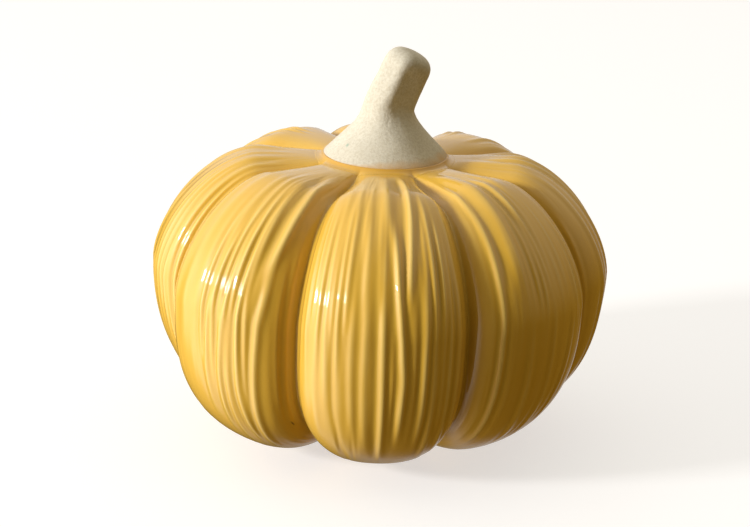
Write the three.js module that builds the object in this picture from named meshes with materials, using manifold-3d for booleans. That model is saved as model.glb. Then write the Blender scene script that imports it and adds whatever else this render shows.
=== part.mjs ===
// Ceramic pumpkin figure: a hollow slip-cast body with eight lobes, a bare clay stem joined to its top
// with slip, and four felt feet under it. Nothing on it moves.
// Millimetres, +Z up, the figure's front towards -Y. The origin is on the surface that the feet rest on,
// at the middle of the body.
import * as THREE from 'three';
import { mergeVertices } from 'three/addons/utils/BufferGeometryUtils.js';
import Module from 'manifold-3d';

const wasm = await Module();
wasm.setup();

// ---- driving dimensions ----

const GAP = 0.3;                 // left between pieces that touch
const LOBES = 8;                 // lobe 0 is centred on -Y, and they are numbered anticlockwise from above
const BODY_RADIUS = 105;         // of an ordinary lobe, at its widest
const ROOF = 8;                  // clay thickness under the seat
const FELT_RADIUS = 6;
const FELT_THICKNESS = 1.7;
const FELT_CENTRE_RADIUS = 36;   // from the axis to the middle of a felt foot
const FLAT_Z = FELT_THICKNESS + GAP;   // the ground flats under the lobes
const POUR_HOLE_RADIUS = 14;     // in the underside, where the casting slip went in and drained
const POUR_HOLE_Z = 11;          // its lower edge
const POUR_HOLE_TOP_Z = 27;      // its upper edge, on the cavity's floor
const SEAT_RADIUS = 24;          // flat disc on top that carries the stem
const SEAT_Z = 127.4;

// A lobe's ridge line and the crease line between two lobes, each from the stem's seat over the crown,
// round the waist and under to the foot. upper and lower are superellipse exponents: 2 is an ellipse.
const RIDGE = {
  seat: [27.7, 127.6], crown: [59, 129.5], waist: [BODY_RADIUS, 77.5], foot: [31.5, 1.4],
  upper: 1.64, lower: 2.5,
};
const CREASE = {
  seat: [27.4, 125.8], crown: [62, 118.3], waist: [89.6, 72.3], foot: [23, 20.5],
  upper: 1.57, lower: 3.4,
};
// The same lines on the wall of the cavity. It follows the lobes at 5.5 to 8 mm round the sides. The
// clay is thicker under the lobes and over them, so the cavity's floor and roof are nearly flat.
const CAVITY_RIDGE = {
  seat: [20, 118.5], crown: [52, 119.5], waist: [99, 77], foot: [42, 18],
  upper: 1.85, lower: 2.5,
};
const CAVITY_CREASE = {
  seat: [20, 114], crown: [52, 110], waist: [81, 72.3], foot: [34, 27.5],
  upper: 1.6, lower: 3.2,
};
// How far across a lobe the surface has risen from crease to ridge: outside, and softened inside.
const OUTER_SECTION = { rise: 2.83, round: 2.26 };
const INNER_SECTION = { rise: 3, round: 1.2 };

// The lobes are modelled by hand, so each differs a little. One value for each lobe, from lobe 0.
const LOBE_BULGE = [1.5, -0.5, 0, -2, 1.5, -1, 0, 4];      // further out than BODY_RADIUS
const LOW_BULGE = [1.5, -1, -3, 0, 0, 0, -4, 1.5];         // the same, below the waist only
const LOW_BULGE_REACH = 1.3;     // how far below the waist that goes, in s (see profilePoint)
const CREASE_TURN = [-1, 0, 0.5, 0, 0, 1, -1, 0.5];        // degrees, of the crease before each lobe

// The stem: a flared foot, a round neck, and a stub that bends over towards +X.
const STEM_BASE_Z = 129.0;
const STEM_TIP_Z = 177.6;
const STEM_RADIUS = 10.8;        // of the stub, without its facets
const FLARE_Z = 147.9;           // below this the foot flares out
const FLARE_SLOPE = 0.96;        // radius gained for each millimetre down
const FLARE_SOFTNESS = 5;        // how gently the flare starts
const BEND_Z = 152.6;            // above this the stub leans over
const BEND_SLOPE = 0.43;
const BEND_SOFTNESS = 3.5;
const RIM_HEIGHT = 1.4;          // rounding of the foot's rim
const RIM_DEPTH = 2.6;
const END_ROUND = 7.5;           // length of the rounding at the cut end
const END_SQUARE = 2.6;          // superellipse exponent of that rounding: 2 is a half ball
const STEM_FACETS = 5;           // soft facets, which twist up the stem
const FACET_DEPTH = 0.035;       // as a part of the radius
const FACET_START = 0.25;        // they have faded in this far up the stem
const STEM_TWIST = -0.4;         // radians, from foot to tip

// The slip that squeezed out round the stem's foot.
const BEAD_RADIUS = 31.8;        // its outer edge
const BEAD_EDGE = 0.8;           // its thickness there
const BEAD_SHOULDER = 0.55;      // place of its shoulder, from the stem's rim to the outer edge
const BEAD_FULLNESS = 0.6;       // height of the shoulder, from the body up to the stem's rim
const BED_CLEARANCE = 0.9;       // under the bed where it follows the creases

// Mesh steps.
const LOBE_STEPS = 8;
const AROUND = LOBES * LOBE_STEPS;
const CROWN_ROWS = [0, 0.25, 0.5, 0.75, 1];   // rows of the body from its seat to its crown
const SHOULDER_ROWS = 7;
const BELLY_ROWS = 8;
const CAVITY_ROWS = 6;           // below the waist, and again above it
const STEM_AROUND = 40;
const SHAFT_ROWS = 13;
const END_ROWS = 5;
const FELT_AROUND = 32;

// ---- shared helpers ----

const HALF_LOBE = Math.PI / LOBES;
const lerp = THREE.MathUtils.lerp;

function polar(radius, angle, z) {
  return new THREE.Vector3(radius * Math.cos(angle), radius * Math.sin(angle), z);
}

function steps(from, to, count) {
  return Array.from({ length: count + 1 }, (_, i) => lerp(from, to, i / count));
}

// A closed surface from rings of equal length, each joined to the next. Rings run anticlockwise from
// above, in the order that goes down the outside of the piece. The two ends close on themselves with a
// point each, or, where no points are given, the last ring joins the first.
function loft(rings, startPoint, endPoint) {
  const count = rings[0].length;
  const points = rings.flat();
  const faces = [];
  const lastPair = startPoint ? rings.length - 1 : rings.length;
  for (let row = 0; row < lastPair; row += 1) {
    const below = (row + 1) % rings.length;
    for (let i = 0; i < count; i += 1) {
      const next = (i + 1) % count;
      const a = row * count + i;
      const b = row * count + next;
      const c = below * count + i;
      const d = below * count + next;
      faces.push(a, c, b, b, c, d);
    }
  }
  if (startPoint) {
    const start = points.push(startPoint) - 1;
    const end = points.push(endPoint) - 1;
    const lastRow = (rings.length - 1) * count;
    for (let i = 0; i < count; i += 1) {
      const next = (i + 1) % count;
      faces.push(start, i, next);
      faces.push(end, lastRow + next, lastRow + i);
    }
  }
  const geometry = new THREE.BufferGeometry().setFromPoints(points);
  geometry.setIndex(faces);
  return geometry;
}

function toManifold(geometry) {
  const bare = geometry.clone();
  bare.deleteAttribute('normal');
  bare.deleteAttribute('uv');
  const merged = mergeVertices(bare);
  return new wasm.Manifold(new wasm.Mesh({
    numProp: 3,
    vertProperties: new Float32Array(merged.attributes.position.array),
    triVerts: new Uint32Array(merged.index.array),
  }));
}

function fromManifold(solid) {
  const mesh = solid.getMesh();
  const geometry = new THREE.BufferGeometry();
  geometry.setAttribute('position', new THREE.BufferAttribute(mesh.vertProperties, mesh.numProp));
  geometry.setIndex(new THREE.BufferAttribute(mesh.triVerts, 1));
  return geometry;
}

function named(name, geometry, material) {
  geometry.computeVertexNormals();
  const mesh = new THREE.Mesh(geometry, material);
  mesh.name = name;
  return mesh;
}

// ---- materials ----

const glaze = new THREE.MeshStandardMaterial({ color: 0xdda63a, roughness: 0.12, metalness: 0 });
const bareClay = new THREE.MeshStandardMaterial({ color: 0xeee3c4, roughness: 0.85, metalness: 0 });
const glazedSlip = new THREE.MeshStandardMaterial({ color: 0xc08a3c, roughness: 0.3, metalness: 0 });
const felt = new THREE.MeshStandardMaterial({ color: 0x6b4a2f, roughness: 1, metalness: 0 });

// ---- the lobed body ----

// A point [radius, z] on a profile. s is 0 at the seat, 1 at the crown, 2 at the waist, 3 at the foot
// and 4 at the pour hole.
function profilePoint(profile, s) {
  const { seat, crown, waist, foot, upper, lower } = profile;
  const stretch = Math.min(Math.floor(s), 3);
  const angle = (s - stretch) * Math.PI / 2;
  const along = Math.max(Math.sin(angle), 0);
  const across = Math.max(Math.cos(angle), 0);
  if (stretch === 0) {
    return [lerp(seat[0], crown[0], 1 - across), lerp(seat[1], crown[1], along)];
  }
  if (stretch === 1) {
    return [lerp(crown[0], waist[0], along ** (2 / upper)), lerp(waist[1], crown[1], across ** (2 / upper))];
  }
  if (stretch === 2) {
    return [lerp(foot[0], waist[0], across ** (2 / lower)), lerp(waist[1], foot[1], along ** (2 / lower))];
  }
  return [lerp(foot[0], POUR_HOLE_RADIUS, along), lerp(foot[1], POUR_HOLE_Z, 1 - across)];
}

// Where a meridian falls: its lobe, and its place across that lobe, from -1 at the crease before it
// to 1 at the crease after. Steps are closer together near the creases, where the surface turns most.
function meridian(index) {
  const lobe = Math.floor((index + LOBE_STEPS / 2) / LOBE_STEPS) % LOBES;
  const fromMiddle = (index + LOBE_STEPS / 2) % LOBE_STEPS - LOBE_STEPS / 2;
  const across = Math.sin(fromMiddle / LOBE_STEPS * Math.PI);
  const creaseBefore = CREASE_TURN[lobe];
  const creaseAfter = CREASE_TURN[(lobe + 1) % LOBES];
  const turn = THREE.MathUtils.degToRad(lerp(creaseBefore, creaseAfter, (across + 1) / 2));
  return { lobe, across, angle: -Math.PI / 2 + (2 * lobe + across) * HALF_LOBE + turn };
}

// How much further out lobe number `lobe` stands than an ordinary one at s.
function extraBulge(lobe, s) {
  const belowWaist = Math.sin(THREE.MathUtils.clamp((s - 2) / LOW_BULGE_REACH, 0, 1) * Math.PI);
  return LOBE_BULGE[lobe] * Math.sin(s * Math.PI / 4) + LOW_BULGE[lobe] * belowWaist;
}

function lobedRing(s, section, ridgeAt, creaseAt) {
  const [ridgeRadius, ridgeZ] = ridgeAt(s);
  const [creaseRadius, creaseZ] = creaseAt(s);
  return Array.from({ length: AROUND }, (_, index) => {
    const { lobe, across, angle } = meridian(index);
    const risen = (1 - Math.abs(across) ** section.rise) ** (1 / section.round);
    const radius = lerp(creaseRadius, ridgeRadius + extraBulge(lobe, s), risen);
    return polar(radius, angle, lerp(creaseZ, ridgeZ, risen));
  });
}

function outerRing(s) {
  return lobedRing(s, OUTER_SECTION, (t) => profilePoint(RIDGE, t), (t) => profilePoint(CREASE, t));
}

function innerRing(s) {
  return lobedRing(
    s, INNER_SECTION, (t) => profilePoint(CAVITY_RIDGE, t), (t) => profilePoint(CAVITY_CREASE, t),
  );
}

function flatRing(radius, z) {
  return Array.from({ length: AROUND }, (_, index) => polar(radius, meridian(index).angle, z));
}

function makeBody() {
  const outside = [
    flatRing(SEAT_RADIUS, SEAT_Z),
    ...CROWN_ROWS.map(outerRing),
    ...steps(1, 2, SHOULDER_ROWS).slice(1).map(outerRing),
    ...steps(2, 3, BELLY_ROWS).slice(1).map(outerRing),
    ...steps(3, 4, 3).slice(1).map(outerRing),
  ];
  const inside = [
    flatRing(POUR_HOLE_RADIUS, POUR_HOLE_TOP_Z),
    ...steps(3, 2, CAVITY_ROWS).map(innerRing),
    ...steps(2, 1, CAVITY_ROWS).slice(1).map(innerRing),
    innerRing(0),
  ];
  const topMiddle = new THREE.Vector3(0, 0, SEAT_Z);
  const cavityTop = new THREE.Vector3(0, 0, SEAT_Z - ROOF);
  const shell = loft([...outside, ...inside], topMiddle, cavityTop);
  const grindDepth = 20;
  const grinder = new THREE.BoxGeometry(3 * BODY_RADIUS, 3 * BODY_RADIUS, grindDepth);
  grinder.translate(0, 0, FLAT_Z - grindDepth / 2);
  return fromManifold(toManifold(shell).subtract(toManifold(grinder)));
}

// ---- the stem ----

// 0 well below x = 0 and x well above it, with a smooth turn between.
function softRamp(x, softness) {
  return (Math.hypot(x, softness) + x) / 2;
}

// How far the middle of the stem has moved towards +X at height z.
function stemMiddle(z) {
  return BEND_SLOPE * softRamp(z - BEND_Z, BEND_SOFTNESS);
}

function stemRadius(z) {
  const flare = FLARE_SLOPE * softRamp(FLARE_Z - z, FLARE_SOFTNESS);
  const rim = RIM_DEPTH * Math.max(1 - (z - STEM_BASE_Z) / RIM_HEIGHT, 0) ** 2;
  const end = Math.max((z - STEM_TIP_Z + END_ROUND) / END_ROUND, 0);
  return (STEM_RADIUS + flare - rim) * (1 - end ** END_SQUARE) ** (1 / END_SQUARE);
}

// A ring of the stem, square to its lean.
function stemRing(z) {
  const step = 0.1;
  const slope = (stemMiddle(z + step) - stemMiddle(z - step)) / (2 * step);
  const climb = (z - STEM_BASE_Z) / (STEM_TIP_Z - STEM_BASE_Z);
  const depth = FACET_DEPTH * Math.min(climb / FACET_START, 1);
  return Array.from({ length: STEM_AROUND }, (_, index) => {
    const angle = index / STEM_AROUND * 2 * Math.PI;
    const facet = 1 + depth * Math.cos(STEM_FACETS * (angle - STEM_TWIST * climb));
    const point = polar(stemRadius(z) * facet, angle, 0);
    point.applyAxisAngle(new THREE.Vector3(0, 1, 0), Math.atan(slope));
    return point.add(new THREE.Vector3(stemMiddle(z), 0, z));
  });
}

function makeStem() {
  // Rows at the cut end crowd together towards the tip, where the surface turns most.
  const endRows = steps(0, 1, END_ROWS).slice(1, -1).map((t) => STEM_TIP_Z - END_ROUND * t * t);
  const shaftRows = steps(STEM_TIP_Z - END_ROUND, STEM_BASE_Z + RIM_HEIGHT, SHAFT_ROWS);
  const rimRows = steps(RIM_HEIGHT / 2, 0, 1).map((height) => STEM_BASE_Z + height);
  return loft(
    [...endRows, ...shaftRows, ...rimRows].map(stemRing),
    new THREE.Vector3(stemMiddle(STEM_TIP_Z), 0, STEM_TIP_Z),
    new THREE.Vector3(stemMiddle(STEM_BASE_Z), 0, STEM_BASE_Z),
  );
}

// ---- the slip joint ----

// The body's height at a radius just outside its seat, on each meridian in turn.
function bodyHeights(radius) {
  const rows = CROWN_ROWS.map(outerRing);
  return Array.from({ length: AROUND }, (_, index) => {
    const line = rows.map((row) => row[index]);
    const outer = line.findIndex((point) => Math.hypot(point.x, point.y) > radius);
    const [from, to] = [line[outer - 1], line[outer]];
    const fromRadius = Math.hypot(from.x, from.y);
    const toRadius = Math.hypot(to.x, to.y);
    return lerp(from.z, to.z, (radius - fromRadius) / (toRadius - fromRadius));
  });
}

function ringAtHeights(radius, heights) {
  return heights.map((z, index) => polar(radius, meridian(index).angle, z));
}

// The bed of slip that the stem was pressed into, and the bead that squeezed out round its rim. It
// fills the creases under the rim, so its underside follows the body.
function makeSlipJoint() {
  const bedTop = STEM_BASE_Z - GAP;
  const rimRadius = stemRadius(STEM_BASE_Z + RIM_HEIGHT);
  const bead = bodyHeights(BEAD_RADIUS);
  const shoulderRadius = lerp(rimRadius, BEAD_RADIUS, BEAD_SHOULDER);
  const shoulder = bodyHeights(shoulderRadius).map((z) => BEAD_EDGE + lerp(z, bedTop, BEAD_FULLNESS));
  const rings = [
    flatRing(stemRadius(STEM_BASE_Z), bedTop),
    flatRing(rimRadius + GAP, bedTop + BEAD_EDGE / 2),
    ringAtHeights(shoulderRadius, shoulder),
    ringAtHeights(BEAD_RADIUS, bead.map((z) => z + BEAD_EDGE)),
    ringAtHeights(BEAD_RADIUS, bead.map((z) => z + GAP)),
    ...CROWN_ROWS.slice(0, 2).reverse().map((row) => (
      outerRing(row).map((point) => point.setZ(point.z + BED_CLEARANCE))
    )),
    flatRing(SEAT_RADIUS, SEAT_Z + GAP),
  ];
  return loft(rings, new THREE.Vector3(0, 0, bedTop), new THREE.Vector3(0, 0, SEAT_Z + GAP));
}

// ---- the felt feet ----

function makeFeltFoot(lobe) {
  const disc = new THREE.CylinderGeometry(FELT_RADIUS, FELT_RADIUS, FELT_THICKNESS, FELT_AROUND);
  disc.rotateX(Math.PI / 2);
  const angle = -Math.PI / 2 + 2 * lobe * HALF_LOBE;
  const middle = polar(FELT_CENTRE_RADIUS, angle, FELT_THICKNESS / 2);
  disc.translate(middle.x, middle.y, middle.z);
  return disc;
}

// ---- the figure ----

const figure = new THREE.Group();
figure.add(named('pumpkin_body', makeBody(), glaze));
figure.add(named('stem', makeStem(), bareClay));
figure.add(named('slip_joint', makeSlipJoint(), glazedSlip));
const FELT_LOBES = { front_right: 1, back_right: 3, back_left: 5, front_left: 7 };
for (const [place, lobe] of Object.entries(FELT_LOBES)) {
  figure.add(named(`felt_foot_${place}`, makeFeltFoot(lobe), felt));
}

export default figure;
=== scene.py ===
"""Ceramic pumpkin figure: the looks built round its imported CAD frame.

The glazed body, the bare clay stem, the slip bead between them and the four felt feet are fine meshes
that stand for the plain CAD solids. Lengths are in metres, but for the tables that say millimetres. The
figure's front is towards -Y.
"""
import math

import bpy
import numpy as np
from mathutils import Matrix, Vector


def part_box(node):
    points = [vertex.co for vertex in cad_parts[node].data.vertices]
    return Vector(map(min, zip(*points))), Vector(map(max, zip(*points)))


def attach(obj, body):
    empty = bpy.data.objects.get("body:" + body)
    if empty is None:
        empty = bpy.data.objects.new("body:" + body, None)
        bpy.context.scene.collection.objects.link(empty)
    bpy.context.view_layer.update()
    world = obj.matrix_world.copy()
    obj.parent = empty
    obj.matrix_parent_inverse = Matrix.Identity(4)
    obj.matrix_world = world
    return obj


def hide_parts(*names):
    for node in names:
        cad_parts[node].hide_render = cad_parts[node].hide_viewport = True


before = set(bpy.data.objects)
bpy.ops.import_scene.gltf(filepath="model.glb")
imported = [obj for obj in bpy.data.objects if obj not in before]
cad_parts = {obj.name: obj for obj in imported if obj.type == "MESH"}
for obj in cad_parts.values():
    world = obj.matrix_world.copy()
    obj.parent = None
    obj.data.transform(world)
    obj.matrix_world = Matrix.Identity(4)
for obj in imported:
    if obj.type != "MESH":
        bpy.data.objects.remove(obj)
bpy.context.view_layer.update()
MM = 0.001

# ---- driving dimensions, the CAD's own ----

LOBES = 8                    # lobe 0 faces -Y, and they are numbered anticlockwise from above
HALF_LOBE = math.pi / LOBES
GAP = 0.3 * MM
ROOF = 8 * MM                # clay under the seat
SEAT_RADIUS = 24 * MM        # flat disc on top that carries the stem
SEAT_Z = 127.4 * MM
POUR_HOLE_RADIUS = 14 * MM   # in the underside
POUR_HOLE_Z = 11 * MM
POUR_HOLE_TOP_Z = 27 * MM
FLAT_Z = 2 * MM              # the ground flats under the lobes
FELT_RADIUS = 6 * MM
FELT_CENTRE_RADIUS = 36 * MM
FELT_LOBES = {"front_right": 1, "back_right": 3, "back_left": 5, "front_left": 7}

# Each profile goes seat, crown, waist, foot as (radius, height) in millimetres, and has superellipse
# exponents for the stretches above and below the waist.
RIDGE = {
    "seat": (27.7, 127.6), "crown": (59, 129.5), "waist": (105, 77.5), "foot": (31.5, 1.4),
    "upper": 1.64, "lower": 2.5,
}
CREASE = {
    "seat": (27.4, 125.8), "crown": (62, 118.3), "waist": (89.6, 72.3), "foot": (23, 20.5),
    "upper": 1.57, "lower": 3.4,
}
CAVITY_RIDGE = {
    "seat": (20, 118.5), "crown": (52, 119.5), "waist": (99, 77), "foot": (42, 18),
    "upper": 1.85, "lower": 2.5,
}
CAVITY_CREASE = {
    "seat": (20, 114), "crown": (52, 110), "waist": (81, 72.3), "foot": (34, 27.5),
    "upper": 1.6, "lower": 3.2,
}
OUTER_SECTION = (2.83, 2.26)  # exponents of the rise from crease to ridge across a lobe
INNER_SECTION = (3, 1.2)
# How far each lobe stands out beyond the ridge, in millimetres: all the way down, and below the waist.
LOBE_BULGE = (1.5, -0.5, 0, -2, 1.5, -1, 0, 4)
LOW_BULGE = (1.5, -1, -3, 0, 0, 0, -4, 1.5)
LOW_BULGE_SPAN = 1.3         # in s, from the waist down
CREASE_TURN = (-1, 0, 0.5, 0, 0, 1, -1, 0.5)  # degrees that the crease before each lobe is turned by

# Slip raises the creases where they run in under the stem: by how much, at which s, and over what span.
CREASE_FILL = 4.2 * MM
CREASE_FILL_AT = 0.3
CREASE_FILL_SPAN = 0.3

SEED = 7                     # of every random draw

# ---- mesh steps ----

LOBE_COLUMNS = 136
COLUMNS = LOBES * LOBE_COLUMNS
ROW_STEP = 3.0 * MM
CREASE_ROUNDING = 88         # blur passes that round the bottoms of the creases
STEPS_ACROSS = 4001          # for measuring the surface's length across a lobe, and along a ridge
STEPS_ALONG = 3001
UNDER_PLACES = (3.1, 3.25, 3.4, 3.55, 3.7, 3.85, 4.0)  # s of the rows from the foot to the pour hole
CAVITY_ROWS = 17             # from the cavity's foot to its crown
CLOSING_RADIUS = 1 * MM      # of the small flat face that closes a surface on the axis

# ---- combed strokes ----
# A stroke is a crest that the modelling tool raised, with a groove on each side and the deeper one on
# its left. Its path is (s, across) pairs: s runs 0 seat, 1 crown, 2 waist, 3 foot, and across runs -1 to
# 1 over the lobe. Then come its height, negative for a plain groove, and its half width, in millimetres.
STROKES = {
    0: [
        ([(0.6, 0.40), (0.9, 0.37), (1.2, 0.33), (1.5, 0.285), (1.75, 0.25)], 1.1, 1.2),
        ([(0.6, -0.03), (1.0, 0.0), (1.4, 0.0)], 0.8, 2.4),
        ([(0.7, 0.18), (1.2, 0.17), (1.5, 0.20)], -1.1, 3.0),
        ([(1.38, 0.10), (1.55, 0.13), (1.75, 0.155), (1.95, 0.18), (2.1, 0.22), (2.35, 0.205)], 1.2, 1.3),
        ([(1.75, -0.01), (2.0, 0.0), (2.2, 0.015), (2.55, 0.03)], 0.9, 1.4),
        ([(1.35, -0.20), (1.8, -0.18), (2.1, -0.175), (2.45, -0.16)], 0.45, 1.5),
        ([(1.65, 0.42), (1.9, 0.42), (2.1, 0.425), (2.4, 0.415)], 0.9, 1.1),
        ([(2.0, -0.52), (2.25, -0.50), (2.5, -0.43), (2.65, -0.40)], -0.5, 1.2),
        ([(0.8, -0.43), (1.4, -0.42), (1.8, -0.42)], 0.45, 1.5),
        ([(0.9, -0.60), (1.4, -0.57), (1.75, -0.55), (2.2, -0.58)], 0.35, 1.8),
        ([(1.1, -0.73), (1.5, -0.72), (2.0, -0.70), (2.4, -0.70)], 0.3, 1.5),
        ([(1.2, 0.52), (1.5, 0.53), (1.75, 0.53)], 0.45, 1.2),
        ([(1.25, 0.61), (1.5, 0.64), (1.85, 0.66)], 0.45, 1.2),
        ([(1.6, 0.83), (2.0, 0.83), (2.4, 0.80)], 0.6, 1.1),
        ([(2.0, 0.57), (2.3, 0.56), (2.55, 0.54)], 0.4, 1.2),
        ([(2.0, 0.69), (2.5, 0.66)], 0.35, 1.2),
        ([(1.75, -0.31), (2.05, -0.31), (2.4, -0.28)], 0.35, 1.3),
        ([(0.7, -0.25), (1.2, -0.24), (1.5, -0.25)], 0.35, 1.8),
    ],
    7: [
        ([(0.75, 0.70), (1.0, 0.75), (1.2, 0.77), (1.45, 0.74), (1.65, 0.70)], 1.5, 1.9),
        ([(0.8, 0.55), (1.2, 0.61), (1.55, 0.63)], -0.6, 2.6),
        ([(1.7, 0.72), (1.85, 0.71), (2.1, 0.65), (2.45, 0.59), (2.65, 0.57)], 0.85, 1.5),
        ([(1.2, 0.37), (1.45, 0.37), (1.7, 0.33), (1.95, 0.28), (2.15, 0.22), (2.45, 0.19)], 0.85, 1.4),
        ([(1.2, 0.49), (1.5, 0.49), (1.75, 0.48), (2.0, 0.46), (2.2, 0.45), (2.55, 0.47)], 0.8, 1.3),
        ([(1.6, 0.13), (1.8, 0.11), (1.95, 0.08), (2.15, 0.03), (2.35, 0.02)], 0.75, 1.3),
        ([(0.95, 0.02), (1.3, 0.02), (1.6, 0.02)], 0.5, 1.8),
        ([(1.5, 0.93), (1.9, 0.945), (2.45, 0.93)], 0.5, 0.9),
        ([(1.6, 0.87), (2.4, 0.87)], 0.25, 0.9),
        ([(0.9, -0.30), (1.4, -0.31), (1.8, -0.33), (2.1, -0.36)], 0.35, 2.6),
        ([(0.8, 0.20), (1.2, 0.22), (1.5, 0.22)], 0.4, 1.5),
        ([(0.9, -0.12), (1.5, -0.13), (1.9, -0.15)], 0.25, 2.0),
        ([(2.05, 0.33), (2.3, 0.31), (2.6, 0.30)], 0.45, 1.2),
        ([(1.0, -0.60), (1.6, -0.60), (2.2, -0.56)], 0.3, 2.0),
        ([(1.85, 0.56), (2.05, 0.55), (2.35, 0.52)], 0.5, 1.0),
    ],
    1: [
        ([(0.6, -0.78), (0.9, -0.75), (1.1, -0.73), (1.35, -0.68), (1.65, -0.66)], 0.8, 1.4),
        ([(0.6, -0.52), (0.9, -0.46), (1.1, -0.42), (1.35, -0.39), (1.7, -0.41)], 1.4, 3.0),
        ([(1.55, -0.68), (1.9, -0.67), (2.2, -0.69), (2.55, -0.70)], 0.9, 1.1),
        ([(0.9, -0.06), (1.15, -0.05), (1.45, -0.07)], 1.0, 1.5),
        ([(1.2, -0.25), (1.4, -0.24), (1.7, -0.25)], 0.5, 1.0),
        ([(1.35, -0.34), (1.75, -0.36)], 0.5, 1.0),
        ([(1.3, -0.17), (1.65, -0.16)], 0.4, 1.0),
        ([(1.25, 0.10), (1.65, 0.11)], 0.6, 1.0),
        ([(1.25, 0.20), (1.65, 0.20)], 0.5, 0.9),
        ([(1.3, 0.03), (1.7, 0.03)], 0.4, 0.9),
        ([(1.65, 0.47), (1.95, 0.42)], 0.7, 1.1),
        ([(1.45, 0.56), (2.0, 0.60)], 0.6, 1.2),
        ([(2.0, -0.32), (2.3, -0.28), (2.55, -0.22)], 0.6, 1.3),
        ([(1.95, 0.0), (2.3, 0.03), (2.55, 0.05)], 0.5, 1.3),
        ([(1.9, 0.35), (2.15, 0.33), (2.45, 0.26)], 0.5, 1.2),
        ([(0.7, -0.33), (1.15, -0.30)], 0.5, 2.0),
        ([(0.75, 0.20), (1.15, 0.24)], 0.5, 2.0),
    ],
    6: [
        ([(0.8, 0.40), (1.5, 0.40), (2.1, 0.42)], 0.6, 1.6),
        ([(0.8, 0.50), (1.5, 0.49), (1.9, 0.50)], 0.5, 1.3),
        ([(0.8, 0.72), (1.2, 0.76), (1.6, 0.74), (2.1, 0.70)], 0.7, 1.3),
        ([(0.9, 0.86), (1.5, 0.88), (2.2, 0.86)], 0.5, 1.0),
        ([(1.0, 0.94), (1.6, 0.95), (2.2, 0.94)], 0.4, 0.8),
        ([(0.7, 0.15), (1.2, 0.25), (1.5, 0.25)], 0.4, 1.8),
        ([(0.8, -0.25), (1.4, -0.22), (2.2, -0.30)], 0.8, 1.8),
        ([(1.2, -0.5), (1.8, -0.52), (2.5, -0.48)], 0.9, 1.6),
        ([(1.5, 0.02), (2.0, 0.0), (2.5, 0.05)], 0.8, 1.6),
        ([(1.9, 0.27), (2.3, 0.25), (2.6, 0.22)], 0.6, 1.5),
    ],
    2: [
        ([(1.5, -0.90), (1.9, -0.91), (2.2, -0.90)], 0.5, 0.9),
        ([(1.6, -0.97), (2.2, -0.96)], 0.4, 0.8),
        ([(0.5, -0.45), (0.8, -0.42), (1.1, -0.44)], 0.6, 2.4),
        ([(1.2, -0.55), (1.8, -0.52), (2.4, -0.50)], 0.5, 1.5),
        ([(0.8, -0.12), (1.4, -0.10), (2.2, -0.14)], 0.9, 1.6),
        ([(1.0, 0.20), (1.6, 0.24), (2.5, 0.20)], 0.9, 1.7),
        ([(0.8, 0.52), (1.5, 0.55), (2.4, 0.48)], 0.8, 1.5),
        ([(1.3, 0.75), (2.3, 0.72)], 0.6, 1.3),
    ],
}
# Patches of fine even ribs: from across, to across, how many, from s, to s.
COMBED = {
    0: [(-0.90, -0.38, 8, 1.3, 1.95), (0.45, 0.80, 5, 1.3, 2.4)],
    7: [(-0.02, 0.52, 8, 1.45, 2.0)],
    6: [(0.50, 0.96, 6, 1.2, 2.2)],
    1: [(-0.3, 0.25, 7, 1.25, 1.75)],
}
COMBED_HEIGHT = 0.70         # millimetres, as is the half width
COMBED_HALF_WIDTH = 0.9
COMBED_VARIATION = (0.6, 1.3)  # least and greatest part of that height
COMBED_SHIFT = 0.012         # across, at most, from an even spacing
COMBED_START_SHIFT = 0.1     # in s, at most
COMBED_END_SHIFT = 0.15
STROKE_SCALE = 0.82          # the glaze fills the grooves and softens every crest
# A crest's grooves: depth as a part of its height, then half width and place in its half widths.
GROOVES = [(0.6, 1.1, -2.0), (0.25, 1.3, 2.0)]
FADE_BEYOND = 0.1            # in s: a stroke fades out from just within its ends to just beyond them
FADE_WITHIN = 0.15
CREASE_CLEAR = 0.96          # how far across a lobe the strokes begin to die away into the crease
# Strokes placed at random, on a lobe that has none of its own. The pairs are a least and a greatest value.
SEEDED_STROKES = 10
SEEDED_REACH = 0.85          # across, of the even spacing
SEEDED_SHIFT = 0.05          # across, at most, from that spacing
SEEDED_WANDER = 0.02         # across, from one station on the path to the next
SEEDED_STATIONS = 5
SEEDED_START = (0.7, 1.4)
SEEDED_END = (1.9, 2.6)
SEEDED_HEIGHT = (0.4, 1.2)
SEEDED_HALF_WIDTH = (1.1, 1.8)
# Hair lines that the tool left everywhere.
FINE_COMBING = 0.11          # millimetres
FINE_STATIONS = 12           # along a hair line, where its depth changes
FINE_FADE_IN = (0.35, 0.8)   # in s
FINE_FADE_OUT = (2.6, 2.9)
FINE_PATCHES = (-0.8, 1.6)   # the values of soft noise at which they are absent and full
FINE_PATCH_PASSES = 60

# ---- the glaze on the body ----

POOLED_BLUR = (1, 12)        # passes along a lobe and across it that give the level the glaze finds
POOLED_EVEN = 0.35           # how thick the glaze lies on a plain stretch, where 1 is pooled
POOLED_RELIEF = 1.2 * MM     # depth of a groove that it fills by 1 more
POOLED_CREASE = 0.35         # how much more lies in a crease
POOLED_CREASE_FROM = 0.86    # and how far across a lobe it begins
# Pinholes in the glaze: each is a dark spot of painted shade in place of a pit, which the mesh does not
# have.
PINHOLES = [(7, 2.45, 0.92), (5, 2.1, 0.3)]   # lobe, s, across
PINHOLE_RADIUS = 0.5 * MM
PINHOLE_EDGE = (0.6, 1.3)    # of the radius, where its painted shade fades
WIPED_Z = FLAT_Z + 0.05 * MM  # the glaze is wiped off below this

# ---- the stem ----

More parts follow.
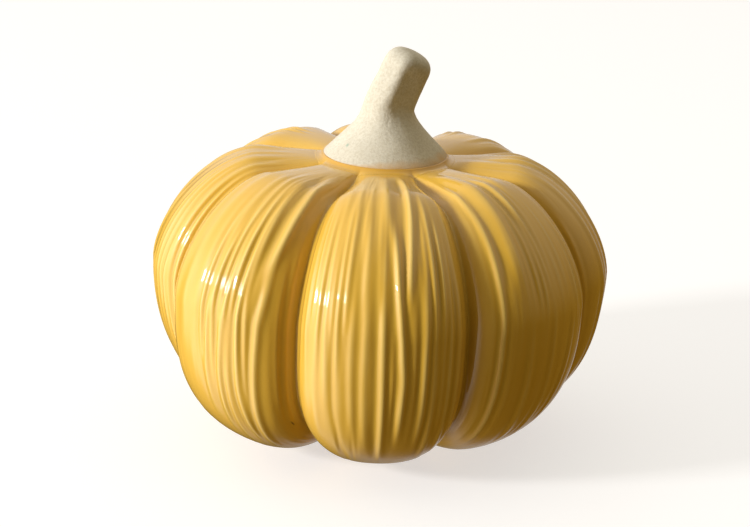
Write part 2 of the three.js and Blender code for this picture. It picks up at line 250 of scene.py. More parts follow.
STEM_BASE_Z = 129 * MM
STEM_TIP_Z = 177.6 * MM
STEM_RADIUS = 10.8 * MM      # of the stub
FLARE_Z = 147.9 * MM         # below this the foot flares out
FLARE_SLOPE = 0.96
FLARE_SOFTNESS = 5 * MM
BEND_Z = 152.6 * MM          # above this the stub leans over towards +X
BEND_SLOPE = 0.43
BEND_SOFTNESS = 3.5 * MM
RIM_HEIGHT = 1.4 * MM        # rounding of the foot's rim
RIM_DEPTH = 2.6 * MM
END_ROUND = 7.5 * MM         # length of the rounding at the cut end
END_SQUARE = 2.6
# Flats that thumb and knife left: the way each faces, in degrees, its distance from the middle as a
# part of the radius, and from how far up the stem to how far.
STEM_FLATS = [
    (-62, 0.81, 0.56, 0.82), (-133, 0.93, 0.4, 0.9), (165, 0.94, 0.4, 0.9), (108, 0.9, 0.4, 0.9),
]
FLAT_SOFTNESS = 0.03
FLAT_LEAST_COSINE = 0.3      # keeps a flat's plane from running away round the back
FLAT_BLUR = (14, 26)         # passes along the stem and round it that soften the flats' edges
FLAT_FADE = 0.28             # part of the stem's height over which a flat fades in and out
DENTS = [(0.10, 60), (0.02, 4)]  # height in millimetres, and blur passes that give them their size
DENTS_FADE = 0.05            # part of the stem's height, from the base up, over which they fade in
# Drying cracks: degrees round the stem, from height, to height, depth, in millimetres.
CRACKS = [
    (-90, 145.5, 151.5, 0.16), (-95, 147.5, 152.5, 0.1), (-88, 141.5, 144.5, 0.1), (20, 150, 155, 0.2),
]
CRACK_HALF_WIDTH = 0.35 * MM
CRACK_TAPER = 1              # millimetres, at both ends
CRACK_WANDER = (1.2, 1.7)    # degrees from side to side, and radians of the wave in each millimetre
SPECK = (-143, 136.6)        # a stray speck of glaze on the foot: degrees, and height in millimetres
SPECK_RADIUS = 0.8 * MM
SPECK_EDGE = (0.5, 1.4)      # of the radius, where its colour fades
# Glaze has stained the foot from its rim up, to a least and a greatest height.
STAIN_HEIGHT = (1 * MM, 8 * MM)
STAIN_ANGLE = -0.8           # radians: where it is highest, on the front right
STAIN_COSINES = (-0.1, 1)    # of the angle from there, where it is lowest and highest
STAIN_FROM = 0.3 * MM
STEM_AROUND = 200
STEM_ROWS = (22, 100, 9)     # over the cut end, down the shaft, and round the rim
END_START = 0.03             # keeps the first row off the middle of the cut end

# ---- the slip bead round the stem's foot ----

BEAD_RADIUS = 31.8 * MM
BEAD_RISE = 1.1 * MM         # up the side of the stem
BEAD_TUCK = 2.5 * MM         # in under the stem's rounded rim
BEAD_FILLET = 2.4            # exponent of its hollow slope
BEAD_RAGGED = 0.25 * MM      # of its outer edge
BEAD_RAGGED_PASSES = 200     # blur passes along that edge
BEAD_OVER = 0.03 * MM        # the bead's skin over the glaze
BEAD_UNDER = 0.02 * MM       # and its underside
BEAD_UNDERSIDE = (BEAD_RADIUS, 30 * MM, 28.5 * MM)
BEAD_POOLED = 0.8            # at the stem, and how much less at the edge
BEAD_POOLED_FALL = 0.45
BEAD_ROWS = 12
BODY_ROWS_NEAR_SEAT = 14     # those that the bead lies on

# ---- the felt feet ----

FELT_AROUND = 96
FELT_TOP_RINGS = (0.05, 0.3, 0.55, 0.8)  # of the radius
FELT_CORNER_RINGS = 4
FELT_SIDE_RINGS = (0.35, 0.5, 0.65)  # of the thickness
FELT_CORNER = 0.35 * MM
FELT_FUZZ = 0.07 * MM
FELT_FUZZY_FROM = (0.6, 0.95)  # of the radius

# ---- colours and light ----

GLAZE_THIN = (0.78, 0.545, 0.135)
GLAZE_MIDDLE = (0.75, 0.45, 0.045)
GLAZE_POOLED = (0.53, 0.34, 0.03)
SLIP_POOLED = (0.60, 0.31, 0.02)
GLAZE_CLOUDS = 0.3           # how far the glaze's thickness drifts
# Painted shade: the dark inside of each pinhole's pit, which the mesh does not have.
PINHOLE_PAINTED_SHADE = (0.05, 0.025, 0.008)
CLAY_DARKER = (0.64, 0.61, 0.50)
CLAY_LIGHTER = (0.71, 0.68, 0.57)
CLAY_GRAIN = (0.86, 0.84, 0.80)
STAIN_AMBER = (0.62, 0.42, 0.20)
SPECK_GREEN = (0.33, 0.45, 0.36)
FELT_DARKER = (0.10, 0.045, 0.02)
FELT_LIGHTER = (0.21, 0.11, 0.055)
WHITE = (1, 1, 1)
GREY = (0.5, 0.5, 0.5)
KEY_WHITE = (1, 0.98, 0.98)
LIGHT_AIM = (0, 0, 0.08)
SHADE = (0.22, 0.12, 0.01)
# The room round the figure, each colour laid over the ones before it: the direction that it lies in, the
# cosines of the angle from that direction at which it begins and is full, and the colour.
ROOM = [
    ((0, 0, 1), -0.25, 0.9, (0.80, 0.73, 0.58)),             # soft light from above
    ((-0.75, 0.65, 0), 0, 0.7, (0.80, 0.76, 0.74)),          # a pale wall, behind on the left
    ((0.1, -1, 0.1), 0.2, 0.8, (0.10, 0.07, 0.02)),          # a dark room in front
    ((-0.93, -0.2, -0.25), 0.6, 0.92, (1.68, 1.55, 1.38)),   # a sunlit floor on the left
    ((-0.45, 0.75, -0.45), 0.75, 0.93, (0.22, 0.14, 0.03)),  # the figure's own shade behind it
]


def lerp(a, b, t):
    return a + (b - a) * t


def smooth(edge0, edge1, x):
    t = np.clip((x - edge0) / (edge1 - edge0), 0, 1)
    return t * t * (3 - 2 * t)


# ---- the lobed surface ----

def profile_points(profile, s):
    """Radius and height along a profile, for s from 0 at the seat to 4 at the pour hole."""
    seat, crown, waist, foot = (
        np.array(profile[corner]) * MM for corner in ("seat", "crown", "waist", "foot"))
    s = np.asarray(s, float)
    stretch = np.minimum(np.floor(s), 3)
    angle = (s - stretch) * math.pi / 2
    along = np.maximum(np.sin(angle), 0)
    across = np.maximum(np.cos(angle), 0)
    up = 2 / profile["upper"]
    low = 2 / profile["lower"]
    radius = np.select(
        [stretch == 0, stretch == 1, stretch == 2],
        [lerp(seat[0], crown[0], 1 - across), lerp(crown[0], waist[0], along ** up),
         lerp(foot[0], waist[0], across ** low)],
        lerp(foot[0], POUR_HOLE_RADIUS, along))
    height = np.select(
        [stretch == 0, stretch == 1, stretch == 2],
        [lerp(seat[1], crown[1], along), lerp(waist[1], crown[1], across ** up),
         lerp(waist[1], foot[1], along ** low)],
        lerp(foot[1], POUR_HOLE_Z, 1 - across))
    return radius, height


def risen(across, section):
    """How far the surface has risen from crease to ridge, 0 to 1, at places across a lobe."""
    rise, round_part = section
    return (1 - np.minimum(np.abs(across), 1) ** rise) ** (1 / round_part)


def column_places():
    """Each column's lobe number and its place across that lobe, evenly spaced over the surface."""
    fine = np.linspace(-1, 1, STEPS_ACROSS)
    radius = lerp(CREASE["waist"][0], RIDGE["waist"][0], risen(fine, OUTER_SECTION))
    x = radius * np.cos(fine * HALF_LOBE)
    y = radius * np.sin(fine * HALF_LOBE)
    length = np.concatenate([[0], np.cumsum(np.hypot(np.diff(x), np.diff(y)))])
    even = np.linspace(0, length[-1], LOBE_COLUMNS, endpoint=False)
    across = np.interp(even, length, fine)
    return np.repeat(np.arange(LOBES), LOBE_COLUMNS), np.tile(across, LOBES)


LOBE_OF, ACROSS = column_places()


def column_angles():
    turn = np.radians(CREASE_TURN)
    before = turn[LOBE_OF]
    after = turn[(LOBE_OF + 1) % LOBES]
    return -math.pi / 2 + (2 * LOBE_OF + ACROSS) * HALF_LOBE + lerp(before, after, (ACROSS + 1) / 2)


ANGLES = column_angles()


def lobed_surface(s, ridge=RIDGE, crease=CREASE, section=OUTER_SECTION):
    """A smooth lobed surface as a grid of points, a row for each s and a column for each angle."""
    ridge_radius, ridge_height = (values[:, None] for values in profile_points(ridge, s))
    crease_radius, crease_height = (values[:, None] for values in profile_points(crease, s))
    below = np.sin(np.clip((s - 2) / LOW_BULGE_SPAN, 0, 1) * math.pi)[:, None]
    around = np.sin(s * math.pi / 4)[:, None]
    bulge = np.array(LOBE_BULGE)[LOBE_OF] * around + np.array(LOW_BULGE)[LOBE_OF] * below
    fill = CREASE_FILL * np.exp(-((s - CREASE_FILL_AT) / CREASE_FILL_SPAN) ** 2)[:, None]
    crease_height = crease_height + fill
    part = risen(ACROSS, section)
    radius = lerp(crease_radius, ridge_radius + bulge * MM, part)
    height = lerp(crease_height, ridge_height, part)
    return np.stack([radius * np.cos(ANGLES), radius * np.sin(ANGLES), height], -1)


def grid_normals(points):
    """Outward normals of a grid that closes on itself from column to column."""
    around = np.roll(points, -1, axis=1) - np.roll(points, 1, axis=1)
    down = np.gradient(points, axis=0)
    normals = np.cross(down, around)
    return normals / np.maximum(np.linalg.norm(normals, axis=-1, keepdims=True), 1e-12)


def blur(grid, rows, columns):
    """Repeated small averages down the rows and round the columns."""
    for _ in range(rows):
        padded = np.concatenate([grid[:1], grid, grid[-1:]])
        grid = (padded[:-2] + 2 * grid + padded[2:]) / 4
    for _ in range(columns):
        grid = (np.roll(grid, 1, axis=1) + 2 * grid + np.roll(grid, -1, axis=1)) / 4
    return grid


def soft_noise(rng, shape, passes):
    """Smooth random values of about unit size on a grid that closes on itself from column to column."""
    noise = blur(rng.normal(0, 1, shape), passes, passes)
    return noise / noise.std()


def seeded_strokes(lobe):
    """Strokes for a lobe that has no listed ones, evenly spread and each a little wandering."""
    rng = np.random.default_rng(SEED + lobe)
    strokes = []
    for number in range(SEEDED_STROKES):
        middle = lerp(-SEEDED_REACH, SEEDED_REACH, (number + 0.5) / SEEDED_STROKES)
        middle += rng.uniform(-SEEDED_SHIFT, SEEDED_SHIFT)
        start = rng.uniform(*SEEDED_START)
        end = rng.uniform(*SEEDED_END)
        places = np.linspace(start, end, SEEDED_STATIONS)
        wander = np.cumsum(rng.normal(0, SEEDED_WANDER, SEEDED_STATIONS))
        path = [(float(s), float(middle + shift)) for s, shift in zip(places, wander)]
        strokes.append((path, rng.uniform(*SEEDED_HEIGHT), rng.uniform(*SEEDED_HALF_WIDTH)))
    return strokes


def combed_strokes(lobe):
    """The fine even ribs of a lobe's combed patches, each a little out of place."""
    rng = np.random.default_rng(SEED + 20 + lobe)
    strokes = []
    for first, last, count, start, end in COMBED.get(lobe, []):
        shift = rng.uniform(-COMBED_SHIFT, COMBED_SHIFT, count)
        for middle in np.linspace(first, last, count) + shift:
            path = [
                (start + rng.uniform(-COMBED_START_SHIFT, COMBED_START_SHIFT), middle),
                (end + rng.uniform(-COMBED_END_SHIFT, COMBED_END_SHIFT), middle),
            ]
            strokes.append((path, COMBED_HEIGHT * rng.uniform(*COMBED_VARIATION), COMBED_HALF_WIDTH))
    return strokes


def stroke_relief(s, radius):
    """How far the combed surface stands from the smooth one, in metres."""
    relief = np.zeros((len(s), COLUMNS))
    for lobe in range(LOBES):
        columns = slice(lobe * LOBE_COLUMNS, (lobe + 1) * LOBE_COLUMNS)
        across = ACROSS[columns][None, :]
        half_lobe_width = radius[:, columns] * HALF_LOBE
        strokes = (STROKES.get(lobe) or seeded_strokes(lobe)) + combed_strokes(lobe)
        for path, height, half_width in strokes:
            stations, places = zip(*path)
            centre = np.interp(s, stations, places)[:, None]
            distance = (across - centre) * half_lobe_width / (half_width * MM)
            fade = smooth(stations[0] - FADE_BEYOND, stations[0] + FADE_WITHIN, s)
            fade = fade * (1 - smooth(stations[-1] - FADE_WITHIN, stations[-1] + FADE_BEYOND, s))
            shape = np.exp(-distance ** 2)
            if height > 0:
                for depth, groove_width, place in GROOVES:
                    shape = shape - depth * np.exp(-((distance - place) / groove_width) ** 2)
            relief[:, columns] += STROKE_SCALE * height * MM * fade[:, None] * shape
    return relief * (1 - smooth(CREASE_CLEAR, 1.0, np.abs(ACROSS)))


def fine_relief(s):
    """Hair lines that run down the lobes: sharp round the body, and drifting slowly along it."""
    rng = np.random.default_rng(SEED)
    coarse = rng.normal(0, 1, (FINE_STATIONS, COLUMNS))
    rows = (s - s[0]) / (s[-1] - s[0]) * (FINE_STATIONS - 1)
    low = np.minimum(rows.astype(int), FINE_STATIONS - 2)
    part = (rows - low)[:, None]
    lines = lerp(coarse[low], coarse[low + 1], part * part * (3 - 2 * part))
    fade = smooth(*FINE_FADE_IN, s) * (1 - smooth(*FINE_FADE_OUT, s))
    patches = smooth(*FINE_PATCHES, soft_noise(rng, (len(s), COLUMNS), FINE_PATCH_PASSES))
    return blur(lines, 0, 1) * FINE_COMBING * MM * fade[:, None] * patches


def row_places():
    """Rows evenly spaced along a ridge, from just outside the seat to the foot."""
    fine = np.linspace(0, 3, STEPS_ALONG)
    radius, height = profile_points(RIDGE, fine)
    length = np.concatenate([[0], np.cumsum(np.hypot(np.diff(radius), np.diff(height)))])
    count = int(length[-1] / ROW_STEP)
    return np.interp(np.linspace(0, length[-1], count + 1), length, fine)


def flat_ring(angle, radius, height):
    return np.stack([radius * np.cos(angle), radius * np.sin(angle), np.full(len(angle), height)], -1)


def stitch(rings):
    """A closed surface through rings, each with as many points as the one before it, or half or twice as
    many. Returns the points and the faces."""
    counts = [len(ring) for ring in rings]
    starts = np.concatenate([[0], np.cumsum(counts)])
    faces = []
    for upper, lower, upper_start, lower_start in zip(counts[:-1], counts[1:], starts, starts[1:]):
        if upper == lower:
            here = np.arange(upper)
            following = (here + 1) % upper
            corners = [
                upper_start + here, lower_start + here, lower_start + following, upper_start + following,
            ]
            faces += np.stack(corners, 1).tolist()
            continue
        if upper > lower:
            fine, fine_start, coarse, coarse_start = upper, upper_start, lower, lower_start
        else:
            fine, fine_start, coarse, coarse_start = lower, lower_start, upper, upper_start
        here = np.arange(coarse)
        left = coarse_start + here
        right = coarse_start + (here + 1) % coarse
        first = fine_start + 2 * here
        middle = first + 1
        last = fine_start + (2 * here + 2) % fine
        for one, two, three in ((first, left, middle), (middle, left, right), (middle, right, last)):
            corners = [one, two, three] if upper > lower else [one, three, two]
            faces += np.stack(corners, 1).tolist()
    points = np.concatenate(rings)
    faces.append(list(range(counts[0])))
    faces.append(list(range(len(points) - 1, len(points) - counts[-1] - 1, -1)))
    return points, faces


def new_mesh(name, points, faces, attributes=None):
    mesh = bpy.data.meshes.new(name)
    mesh.from_pydata(np.asarray(points).tolist(), [], faces)
    for key, values in (attributes or {}).items():
        layer = mesh.attributes.new(key, "FLOAT", "POINT")
        layer.data.foreach_set("value", np.asarray(values, np.float32))
    mesh.validate()
    mesh.shade_smooth()
    piece = bpy.data.objects.new(name, mesh)
    bpy.context.scene.collection.objects.link(piece)
    return piece


def thinned(ring, times):
    """A ring halved in number of points so many times over."""
    return ring[:: 2 ** times]


def ribbed_surface(s):
    """The glazed surface with its ribs, and how far they stand from the smooth one."""
    rounded = blur(lobed_surface(s), 0, CREASE_ROUNDING)
    radius = np.hypot(rounded[..., 0], rounded[..., 1])
    relief = blur(stroke_relief(s, radius), 1, 1) + fine_relief(s)
    outside = rounded + grid_normals(rounded) * relief[..., None]
    outside[..., 2] = np.maximum(outside[..., 2], FLAT_Z)
    return outside, relief


def make_body(glaze, clay):
    s = row_places()
    outside, relief = ribbed_surface(s)

    # Glaze runs off the ridges and pools in the grooves: 0 on a ridge, 1 in a deep groove.
    pooled = (blur(relief, *POOLED_BLUR) - relief) / POOLED_RELIEF
    crease = smooth(POOLED_CREASE_FROM, 1.0, np.abs(ACROSS))[None, :]
    pooled = np.clip(POOLED_EVEN + pooled + POOLED_CREASE * crease, 0, 1)
    # Where each pinhole's pit is, as a mask for its painted shade.
    pinhole_shade = np.zeros_like(pooled)
    for lobe, at, across in PINHOLES:
        row = np.argmin(np.abs(s - at))
        column = np.argmin(np.abs(LOBE_OF + ACROSS / 2 - lobe - across / 2))
        away = np.linalg.norm(outside - outside[row, column], axis=-1)
        pinhole_shade = np.maximum(pinhole_shade, 1 - smooth(*PINHOLE_EDGE, away / PINHOLE_RADIUS))

    angle = thinned(ANGLES, 3)
    under = lobed_surface(np.array(UNDER_PLACES))
    under[..., 2] = np.maximum(under[..., 2], FLAT_Z)
    inside_places = np.concatenate([np.linspace(3, 1, CAVITY_ROWS), [0]])
    inside = lobed_surface(inside_places, CAVITY_RIDGE, CAVITY_CREASE, INNER_SECTION)
    rings = [flat_ring(angle, CLOSING_RADIUS, SEAT_Z), flat_ring(angle, SEAT_RADIUS, SEAT_Z)]
    rings += [thinned(outside[0], 2), thinned(outside[1], 1)]
    glazed_start = sum(len(ring) for ring in rings)
    rings += list(outside[2:])
    glazed_end = sum(len(ring) for ring in rings)
    rings += [thinned(under[0], 1), thinned(under[1], 2)]
    rings += [thinned(row, 3) for row in under[2:]]
    rings += [flat_ring(angle, POUR_HOLE_RADIUS, POUR_HOLE_TOP_Z)]
    rings += [thinned(row, 3) for row in inside]
    rings += [flat_ring(angle, CLOSING_RADIUS, SEAT_Z - ROOF)]
    points, faces = stitch(rings)

    # The pinhole attribute carries the painted shade of each pit.
    attributes = {"pooled": np.full(len(points), POOLED_EVEN), "pinhole_painted_shade": np.zeros(len(points))}
    attributes["pooled"][glazed_start:glazed_end] = pooled[2:].ravel()
    attributes["pinhole_painted_shade"][glazed_start:glazed_end] = pinhole_shade[2:].ravel()
    body = new_mesh("glazed_body", points, faces, attributes)
    body.data.materials.append(glaze)
    body.data.materials.append(clay)
    # The maker wipes the glaze off the flats that it stands on, and there is none inside.
    for face in body.data.polygons:
        first = min(face.vertices)
        on_seat = first < len(angle)
        if on_seat or first >= glazed_end or face.center.z < WIPED_Z:
            face.material_index = 1
    return body


# ---- the stem ----

def soft_ramp(x, softness):
    return (np.hypot(x, softness) + x) / 2


def stem_middle(z):
    return BEND_SLOPE * soft_ramp(z - BEND_Z, BEND_SOFTNESS)


def stem_radius(z):
    flare = FLARE_SLOPE * soft_ramp(FLARE_Z - z, FLARE_SOFTNESS)
    rim = RIM_DEPTH * np.maximum(1 - (z - STEM_BASE_Z) / RIM_HEIGHT, 0) ** 2
    end = np.clip((z - STEM_TIP_Z + END_ROUND) / END_ROUND, 0, 1)
    return (STEM_RADIUS + flare - rim) * (1 - end ** END_SQUARE) ** (1 / END_SQUARE)


def turned(degrees):
    """An angle brought into -180 to 180."""
    return (degrees + 180) % 360 - 180


def make_stem():
    rng = np.random.default_rng(SEED)
    end_rows, shaft_rows, rim_rows = STEM_ROWS
    tip = STEM_TIP_Z - END_ROUND * np.linspace(END_START, 1, end_rows, endpoint=False) ** 2
    shaft = np.linspace(STEM_TIP_Z - END_ROUND, STEM_BASE_Z + RIM_HEIGHT, shaft_rows)
    rim = STEM_BASE_Z + RIM_HEIGHT * np.linspace(1, 0, rim_rows)[1:]
    z = np.concatenate([tip, shaft, rim])[:, None]
    degrees = np.linspace(-180, 180, STEM_AROUND, endpoint=False)[None, :]
    climb = (z - STEM_BASE_Z) / (STEM_TIP_Z - STEM_BASE_Z)
    cut = np.zeros((len(z), STEM_AROUND))
    for facing, distance, start, end in STEM_FLATS:
        cosine = np.cos(np.radians(turned(degrees - facing)))
        reach = distance / np.maximum(cosine, FLAT_LEAST_COSINE)
        fade = smooth(start - FLAT_FADE, start, climb) * (1 - smooth(end, end + FLAT_FADE, climb))
        cut = np.maximum(cut, fade * soft_ramp(1 - reach, FLAT_SOFTNESS))
    radius = stem_radius(z) * (1 - blur(cut, *FLAT_BLUR))
    dents = sum(dent * MM * soft_noise(rng, radius.shape, passes) for dent, passes in DENTS)
    crack = np.zeros_like(radius)
    for middle, low, high, depth in CRACKS:
        wander = middle + CRACK_WANDER[0] * np.sin(z / MM * CRACK_WANDER[1])
        across = turned(degrees - wander) * math.pi / 180 * radius / CRACK_HALF_WIDTH
        along = smooth(low, low + CRACK_TAPER, z / MM) * (1 - smooth(high - CRACK_TAPER, high, z / MM))
        crack = np.maximum(crack, depth * along * np.exp(-across ** 2))
    radius = radius + dents * smooth(0, DENTS_FADE, climb) - crack * MM
    slope = (stem_middle(z + MM) - stem_middle(z - MM)) / (2 * MM)
    lean = np.arctan(slope)
    angle = np.radians(degrees)
    x = stem_middle(z) + radius * np.cos(angle) * np.cos(lean)
    y = radius * np.sin(angle)
    height = np.maximum(z - radius * np.cos(angle) * np.sin(lean), STEM_BASE_Z)
    grid = np.stack([x, y + 0 * x, height], -1)
    points, faces = stitch(list(grid))
    speck_turn = math.radians(SPECK[0])
    speck_z = SPECK[1] * MM
    speck_at = np.array([math.cos(speck_turn), math.sin(speck_turn)])
    speck_at = np.append(speck_at * float(stem_radius(np.array(speck_z))), speck_z)
    speck = 1 - smooth(*SPECK_EDGE, np.linalg.norm(points - speck_at, axis=-1) / SPECK_RADIUS)
    around = np.cos(np.arctan2(points[:, 1], points[:, 0]) - STAIN_ANGLE)
    stained = lerp(*STAIN_HEIGHT, smooth(*STAIN_COSINES, around))
    stain = 1 - smooth(0, stained, points[:, 2] - STEM_BASE_Z - STAIN_FROM)
    return new_mesh("clay_stem", points, faces, {"speck": speck, "stain": stain})


# ---- the slip bead ----

def body_ring(outside, radius, raised):
    """A ring just outside the seat, raised a little from the body, with a point on every second column."""
    out = np.hypot(outside[..., 0], outside[..., 1])
    ring = np.array([
        [np.interp(radius[column // 2], out[:, column], outside[:, column, axis]) for axis in range(3)]
        for column in range(0, COLUMNS, 2)])
    ring[:, 2] += raised
    return ring


def make_slip_bead():
    rng = np.random.default_rng(SEED + 1)
    outside = ribbed_surface(row_places())[0][:BODY_ROWS_NEAR_SEAT]
    angle = thinned(ANGLES, 1)
    ragged = BEAD_RAGGED * soft_noise(rng, (1, len(angle)), BEAD_RAGGED_PASSES)[0]
    inner = float(stem_radius(np.array(STEM_BASE_Z + RIM_HEIGHT))) + GAP
    top = STEM_BASE_Z + BEAD_RISE
    rings = [
        flat_ring(angle, CLOSING_RADIUS, STEM_BASE_Z - GAP),
        flat_ring(angle, inner - BEAD_TUCK, STEM_BASE_Z - GAP),
        flat_ring(angle, inner, top),
    ]
    for t in np.linspace(0, 1, BEAD_ROWS)[1:]:
        # A hollow fillet: it leaves the stem steeply and runs out flat on the body.
        low = body_ring(outside, lerp(inner, BEAD_RADIUS + ragged, t), BEAD_OVER)
        low[:, 2] = lerp(low[:, 2], top, (1 - t) ** BEAD_FILLET)
        rings.append(low)
    for radius in BEAD_UNDERSIDE:
        rings.append(body_ring(outside, radius + ragged, BEAD_UNDER))
    rings.append(flat_ring(angle, SEAT_RADIUS, SEAT_Z + GAP))
    rings.append(flat_ring(angle, CLOSING_RADIUS, SEAT_Z + GAP))
    points, faces = stitch(rings)
    out = np.linalg.norm(points[:, :2], axis=-1)
    pooled = BEAD_POOLED - BEAD_POOLED_FALL * smooth(inner, BEAD_RADIUS, out)
    return new_mesh("slip_bead", points, faces, {"pooled": pooled})


# ---- the felt feet ----

def make_felt_foot(place, lobe):
    """A disc of felt with rounded corners and a fuzzy edge, in its CAD solid's place."""
    rng = np.random.default_rng(SEED + lobe)
    low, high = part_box(f"felt_foot_{place}")
    thickness = high.z - low.z
    angle = np.linspace(0, 2 * math.pi, FELT_AROUND, endpoint=False)
    sides = [(part * FELT_RADIUS, high.z) for part in FELT_TOP_RINGS]
    sides += [(FELT_RADIUS - FELT_CORNER * (1 - math.sin(t)), high.z - FELT_CORNER * (1 - math.cos(t)))
              for t in np.linspace(0, math.pi / 2, FELT_CORNER_RINGS)]
    top_rings = list(sides)
    sides += [(FELT_RADIUS, high.z - thickness * part) for part in FELT_SIDE_RINGS]
    sides += [(out, low.z + high.z - up) for out, up in reversed(top_rings)]
    profile = np.array(sides)
    fuzz = FELT_FUZZ * soft_noise(rng, (len(profile), FELT_AROUND), 1)
    radius = profile[:, :1] + fuzz * smooth(*FELT_FUZZY_FROM, profile[:, :1] / FELT_RADIUS)
    height = np.clip(profile[:, 1:] + fuzz / 2, low.z, high.z)
    turn = 2 * lobe * HALF_LOBE - math.pi / 2
    x = FELT_CENTRE_RADIUS * math.cos(turn) + radius * np.cos(angle)
    y = FELT_CENTRE_RADIUS * math.sin(turn) + radius * np.sin(angle)
    points, faces = stitch(list(np.stack([x, y, height], -1)))
    return new_mesh(f"felt_{place}", points, faces)


# ---- materials ----

def new_material(name):
    material = bpy.data.materials.new(name)
    material.use_nodes = True
    nodes = material.node_tree.nodes
    nodes.clear()
    output = nodes.new("ShaderNodeOutputMaterial")
    shader = nodes.new("ShaderNodeBsdfPrincipled")
    material.node_tree.links.new(shader.outputs[0], output.inputs[0])
    return material, shader


def node(material, kind, **settings):
    made = material.node_tree.nodes.new(kind)
    for key, value in settings.items():
        if hasattr(made, key):
            setattr(made, key, value)
        else:
            made.inputs[key].default_value = value
    return made


def link(material, value, socket):
    """Sets a socket to a number or a colour, or links another node's output to it."""
    if isinstance(value, tuple):
        socket.default_value = (*value, 1)
    elif isinstance(value, (int, float)):
        socket.default_value = value
    else:
        material.node_tree.links.new(value, socket)


def arithmetic(material, operation, *values, clamp=False):
    made = node(material, "ShaderNodeMath", operation=operation, use_clamp=clamp)
    for value, socket in zip(values, made.inputs):
        link(material, value, socket)
    return made.outputs[0]


def attribute(material, name):
    return node(material, "ShaderNodeAttribute", attribute_name=name).outputs["Fac"]


def noise(material, scale, detail, roughness=0.5):
    place = node(material, "ShaderNodeTexCoord")
    texture = node(material, "ShaderNodeTexNoise", Scale=scale, Detail=detail, Roughness=roughness)
    link(material, place.outputs["Object"], texture.inputs["Vector"])
    return texture.outputs["Fac"]


def ramp(material, value, *stops):
    """Colours at places along a value from 0 to 1."""
    made = node(material, "ShaderNodeValToRGB")
    elements = made.color_ramp.elements
    for index, (place, colour) in enumerate(stops):
        stop = elements[index] if index < 2 else elements.new(place)
        stop.position = place
        stop.color = (*colour, 1)
    link(material, value, made.inputs["Fac"])
    return made.outputs["Color"]


def mixed(material, factor, under, over, blend="MIX"):
    """One colour over another. The node keeps its colours in inputs 6 and 7, and its result in output 2."""
    made = node(material, "ShaderNodeMix", data_type="RGBA", blend_type=blend)
    link(material, factor, made.inputs[0])
    link(material, under, made.inputs[6])
    link(material, over, made.inputs[7])
    return made.outputs[2]


def bump(material, height, strength, distance):
    made = node(material, "ShaderNodeBump", Strength=strength, Distance=distance)
    link(material, height, made.inputs["Height"])
    return made.outputs["Normal"]


def glaze_material(name, thin, middle, thick):
    """Glossy amber glaze: pale where it is thin, deep where it has pooled, with painted shade in its
    pinholes.
    """
    material, shader = new_material(name)
    shader.inputs["Roughness"].default_value = 0.5
    shader.inputs["Coat Weight"].default_value = 1.0
    shader.inputs["Coat Roughness"].default_value = 0.03
    shader.inputs["IOR"].default_value = 1.5
    clouds = noise(material, scale=38, detail=3)
    depth = arithmetic(material, "MULTIPLY_ADD", clouds, GLAZE_CLOUDS, attribute(material, "pooled"))
    depth = arithmetic(material, "SUBTRACT", depth, GLAZE_CLOUDS / 2)
    colour = ramp(material, depth, (0, thin), (1, thick), (POOLED_EVEN, middle))
    # Painted shade: each pinhole's pit is darkened in the colour.
    colour = mixed(material, attribute(material, "pinhole_painted_shade"), colour, PINHOLE_PAINTED_SHADE)
    link(material, colour, shader.inputs["Base Color"])
    peel = bump(material, noise(material, scale=260, detail=2), strength=0.12, distance=0.4 * MM)
    link(material, peel, shader.inputs["Normal"])
    link(material, peel, shader.inputs["Coat Normal"])
    return material


def clay_material():
    """Matte, fine-grained bare clay, stained by glaze at its foot."""
    material, shader = new_material("bare_clay")
    shader.inputs["Roughness"].default_value = 0.9
    clouds = noise(material, scale=55, detail=4)
    grain = noise(material, scale=900, detail=2, roughness=0.7)
    colour = mixed(
        material, 1.0, ramp(material, clouds, (0.3, CLAY_DARKER), (0.7, CLAY_LIGHTER)),
        ramp(material, grain, (0.35, CLAY_GRAIN), (0.6, WHITE)), blend="MULTIPLY")
    # Noise breaks up the stain's edge.
    broken = arithmetic(material, "SUBTRACT", noise(material, scale=260, detail=4), 1.1)
    stain = arithmetic(material, "MULTIPLY_ADD", attribute(material, "stain"), 1.5, broken, clamp=True)
    colour = mixed(material, stain, colour, STAIN_AMBER)
    colour = mixed(material, attribute(material, "speck"), colour, SPECK_GREEN)
    link(material, colour, shader.inputs["Base Color"])
    rough = noise(material, scale=700, detail=4, roughness=0.7)
    link(material, bump(material, rough, strength=0.35, distance=0.6 * MM), shader.inputs["Normal"])
    return material


def felt_material():
    material, shader = new_material("brown_felt")
    shader.inputs["Roughness"].default_value = 1.0
    shader.inputs["Sheen Weight"].default_value = 0.4
    fibre = noise(material, scale=1400, detail=4, roughness=0.8)
    colour = ramp(material, fibre, (0.35, FELT_DARKER), (0.7, FELT_LIGHTER))
    link(material, colour, shader.inputs["Base Color"])
    link(material, bump(material, fibre, strength=0.8, distance=0.6 * MM), shader.inputs["Normal"])
    return material


# ---- floor, lights, camera ----

def make_floor():
    """A pale floor that takes the figure's shadow, but neither lights the figure nor shows in its glaze."""
    bpy.ops.mesh.primitive_plane_add(size=6, location=(0, 0, 0))
    floor = bpy.context.object
    floor.name = "floor"
    material, shader = new_material("pale_floor")
    link(material, GREY, shader.inputs["Base Color"])
    shader.inputs["Roughness"].default_value = 0.8
    link(material, WHITE, shader.inputs["Emission Color"])
    shader.inputs["Emission Strength"].default_value = 0.6
    floor.data.materials.append(material)
    floor.visible_diffuse = False
    floor.visible_glossy = False


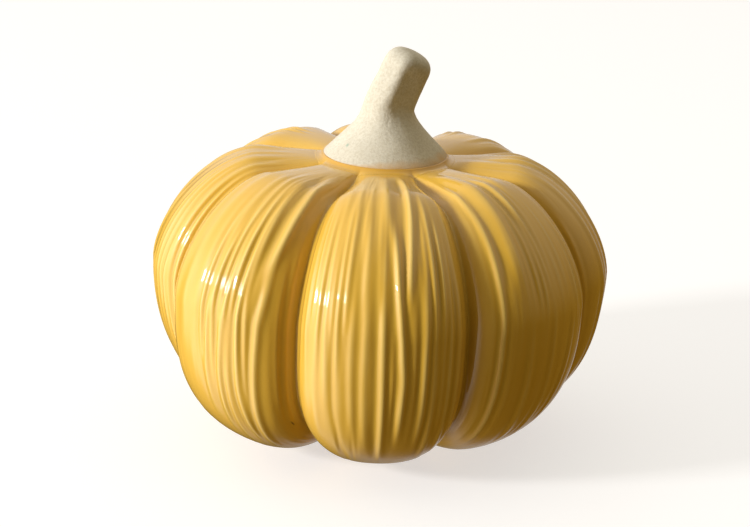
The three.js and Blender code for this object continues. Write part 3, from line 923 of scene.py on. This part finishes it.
def area_light(name, azimuth, elevation, distance, width, height, power, colour):
    """An area light aimed at the figure. Azimuth is from -Y towards +X, in degrees."""
    data = bpy.data.lights.new(name, "AREA")
    data.shape = "RECTANGLE"
    data.size = width
    data.size_y = height
    data.energy = power
    data.color = colour
    light = bpy.data.objects.new(name, data)
    turn = math.radians(azimuth)
    climb = math.radians(elevation)
    direction = Vector((
        math.sin(turn) * math.cos(climb), -math.cos(turn) * math.cos(climb), math.sin(climb)))
    light.location = Vector(LIGHT_AIM) + direction * distance
    light.rotation_euler = direction.to_track_quat("Z", "Y").to_euler()
    bpy.context.scene.collection.objects.link(light)


def make_world():
    """The room round the figure, as the light that comes from every side."""
    world = bpy.data.worlds.new("studio")
    world.use_nodes = True
    background = world.node_tree.nodes["Background"]
    direction = node(world, "ShaderNodeTexCoord").outputs["Generated"]

    def towards(vector, start, end):
        """0 to 1 as the direction turns towards a vector, from one cosine to another."""
        dot = node(world, "ShaderNodeVectorMath", operation="DOT_PRODUCT")
        link(world, direction, dot.inputs[0])
        dot.inputs[1].default_value = Vector(vector).normalized()
        turn = node(world, "ShaderNodeMapRange", interpolation_type="SMOOTHSTEP")
        turn.inputs["From Min"].default_value = start
        turn.inputs["From Max"].default_value = end
        link(world, dot.outputs["Value"], turn.inputs["Value"])
        return turn.outputs["Result"]

    room = SHADE
    for vector, begins, full, colour in ROOM:
        room = mixed(world, towards(vector, begins, full), room, colour)
    link(world, room, background.inputs["Color"])
    bpy.context.scene.world = world


def make_lights():
    area_light("key", azimuth=-68, elevation=17, distance=3.0, width=0.42, height=0.42, power=86,
               colour=KEY_WHITE)
    make_world()


def make_camera():
    elevation, yaw, roll = (math.radians(degrees) for degrees in (18.04, -1.93, 2.56))
    distance = 0.9012
    target = Vector((-0.0024, 0, 0.0768))
    forward = Vector((-math.sin(yaw) * math.cos(elevation), math.cos(yaw) * math.cos(elevation),
                      -math.sin(elevation)))
    right = forward.cross(Vector((0, 0, 1))).normalized()
    up = right.cross(forward)
    rolled_right = right * math.cos(roll) + up * math.sin(roll)
    rolled_up = up * math.cos(roll) - right * math.sin(roll)
    data = bpy.data.cameras.new("camera")
    data.lens = 93
    data.sensor_width = 36
    camera = bpy.data.objects.new("camera", data)
    rotation = Matrix((rolled_right, rolled_up, -forward)).transposed()
    camera.matrix_world = Matrix.Translation(target - forward * distance) @ rotation.to_4x4()
    bpy.context.scene.collection.objects.link(camera)
    bpy.context.scene.camera = camera


# ---- the figure ----

def put(piece, node_name, material=None):
    """Rides a piece on the one body in place of a CAD node."""
    if material:
        piece.data.materials.append(material)
    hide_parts(node_name)
    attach(piece, "root")


clay = clay_material()
glaze = glaze_material("amber_glaze", GLAZE_THIN, GLAZE_MIDDLE, GLAZE_POOLED)
slip = glaze_material("slip_glaze", GLAZE_THIN, GLAZE_MIDDLE, SLIP_POOLED)
felt = felt_material()
put(make_body(glaze, clay), "pumpkin_body")
put(make_stem(), "stem", clay)
put(make_slip_bead(), "slip_joint", slip)
for place, lobe in FELT_LOBES.items():
    put(make_felt_foot(place, lobe), f"felt_foot_{place}", felt)

make_floor()
make_lights()
make_camera()
bpy.context.scene.view_settings.view_transform = "Standard"
